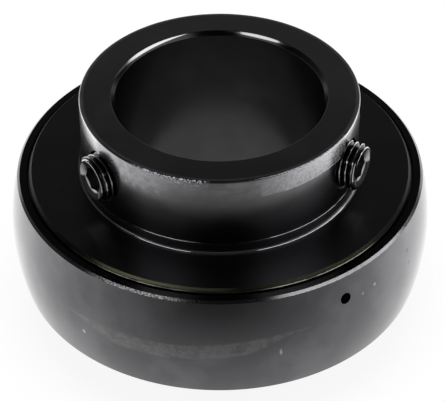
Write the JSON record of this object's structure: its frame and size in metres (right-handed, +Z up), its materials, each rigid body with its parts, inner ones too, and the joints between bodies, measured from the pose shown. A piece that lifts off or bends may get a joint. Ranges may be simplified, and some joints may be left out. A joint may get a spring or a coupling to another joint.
{
  "type": "insert bearing",
  "caption": "Radial insert ball bearing with a spherical outer ring, an extended inner ring with set screws, flingers and lip seals, in a black finish.",
  "frame": {"origin": "centre of the inner ring's lower end face, on the axis of the bore", "axes": "+Z up along the bore's axis, towards the end with the grub screws; -Y is the side that faces the camera in the picture, and +X is to its right"},
  "size_m": [0.072, 0.072, 0.0429],
  "materials": {
    "black_steel": "black oxide over ground steel, satin gloss",
    "flinger_steel": "black coating on pressed sheet steel, satin",
    "screw_steel": "black oxide on cut threads, oily gloss",
    "plate_steel": "pressed sheet steel with a faint yellow passivation",
    "lip_rubber": "matte black rubber",
    "cage_steel": "pressed steel strip, satin",
    "ball_steel": "polished hardened steel"
  },
  "bodies": {
    "outer": {"outer_ring": "black_steel", "seal_plate_upper": "plate_steel", "seal_plate_lower": "plate_steel", "seal_lip_upper": "lip_rubber", "seal_lip_lower": "lip_rubber"},
    "inner": {"inner_ring": "black_steel", "flinger_upper": "flinger_steel", "flinger_lower": "flinger_steel"},
    "screw_left": {"grub_screw_left": "screw_steel"},
    "screw_right": {"grub_screw_right": "screw_steel"},
    "cage": {"cage_upper": "cage_steel", "cage_lower": "cage_steel", "cage_rivet_1": "cage_steel", "cage_rivet_2": "cage_steel", "cage_rivet_3": "cage_steel", "cage_rivet_4": "cage_steel", "cage_rivet_5": "cage_steel", "cage_rivet_6": "cage_steel", "cage_rivet_7": "cage_steel", "cage_rivet_8": "cage_steel", "cage_rivet_9": "cage_steel"},
    "ball_body_1": {"ball_1": "ball_steel"},
    "ball_body_2": {"ball_2": "ball_steel"},
    "ball_body_3": {"ball_3": "ball_steel"},
    "ball_body_4": {"ball_4": "ball_steel"},
    "ball_body_5": {"ball_5": "ball_steel"},
    "ball_body_6": {"ball_6": "ball_steel"},
    "ball_body_7": {"ball_7": "ball_steel"},
    "ball_body_8": {"ball_8": "ball_steel"},
    "ball_body_9": {"ball_9": "ball_steel"}
  },
  "joints": [
    {"name": "inner_spin", "type": "hinge", "parent": "outer", "child": "inner", "pos_m": [0, 0, 0.0175], "axis": [0, 0, 1], "continuous": true},
    {"name": "cage_spin", "type": "hinge", "parent": "outer", "child": "cage", "pos_m": [0, 0, 0.0175], "axis": [0, 0, 1], "continuous": true},
    {"name": "ball_1_spin", "type": "hinge", "parent": "cage", "child": "ball_body_1", "pos_m": [0, -0.02675, 0.0175], "axis": [0, 0, 1], "continuous": true},
    {"name": "ball_2_spin", "type": "hinge", "parent": "cage", "child": "ball_body_2", "pos_m": [0.01719, -0.02049, 0.0175], "axis": [0, 0, 1], "continuous": true},
    {"name": "ball_3_spin", "type": "hinge", "parent": "cage", "child": "ball_body_3", "pos_m": [0.02634, -0.00465, 0.0175], "axis": [0, 0, 1], "continuous": true},
    {"name": "ball_4_spin", "type": "hinge", "parent": "cage", "child": "ball_body_4", "pos_m": [0.02317, 0.01337, 0.0175], "axis": [0, 0, 1], "continuous": true},
    {"name": "ball_5_spin", "type": "hinge", "parent": "cage", "child": "ball_body_5", "pos_m": [0.00915, 0.02514, 0.0175], "axis": [0, 0, 1], "continuous": true},
    {"name": "ball_6_spin", "type": "hinge", "parent": "cage", "child": "ball_body_6", "pos_m": [-0.00915, 0.02514, 0.0175], "axis": [0, 0, 1], "continuous": true},
    {"name": "ball_7_spin", "type": "hinge", "parent": "cage", "child": "ball_body_7", "pos_m": [-0.02317, 0.01337, 0.0175], "axis": [0, 0, 1], "continuous": true},
    {"name": "ball_8_spin", "type": "hinge", "parent": "cage", "child": "ball_body_8", "pos_m": [-0.02634, -0.00465, 0.0175], "axis": [0, 0, 1], "continuous": true},
    {"name": "ball_9_spin", "type": "hinge", "parent": "cage", "child": "ball_body_9", "pos_m": [-0.01719, -0.02049, 0.0175], "axis": [0, 0, 1], "continuous": true},
    {"name": "screw_left_travel", "type": "slide", "parent": "inner", "child": "screw_left", "axis": [-0.829, -0.5592, 0], "range_m": [-0.00055, 0.0024]},
    {"name": "screw_right_travel", "type": "slide", "parent": "inner", "child": "screw_right", "axis": [0.8988, -0.4384, 0], "range_m": [-0.00105, 0.0019]}
  ],
  "couplings": [
    {"joint": "cage_spin", "follows": "inner_spin", "ratio": 0.39615},
    {"joint": "ball_1_spin", "follows": "inner_spin", "ratio": -2.3035},
    {"joint": "ball_2_spin", "follows": "inner_spin", "ratio": -2.3035},
    {"joint": "ball_3_spin", "follows": "inner_spin", "ratio": -2.3035},
    {"joint": "ball_4_spin", "follows": "inner_spin", "ratio": -2.3035},
    {"joint": "ball_5_spin", "follows": "inner_spin", "ratio": -2.3035},
    {"joint": "ball_6_spin", "follows": "inner_spin", "ratio": -2.3035},
    {"joint": "ball_7_spin", "follows": "inner_spin", "ratio": -2.3035},
    {"joint": "ball_8_spin", "follows": "inner_spin", "ratio": -2.3035},
    {"joint": "ball_9_spin", "follows": "inner_spin", "ratio": -2.3035}
  ]
}
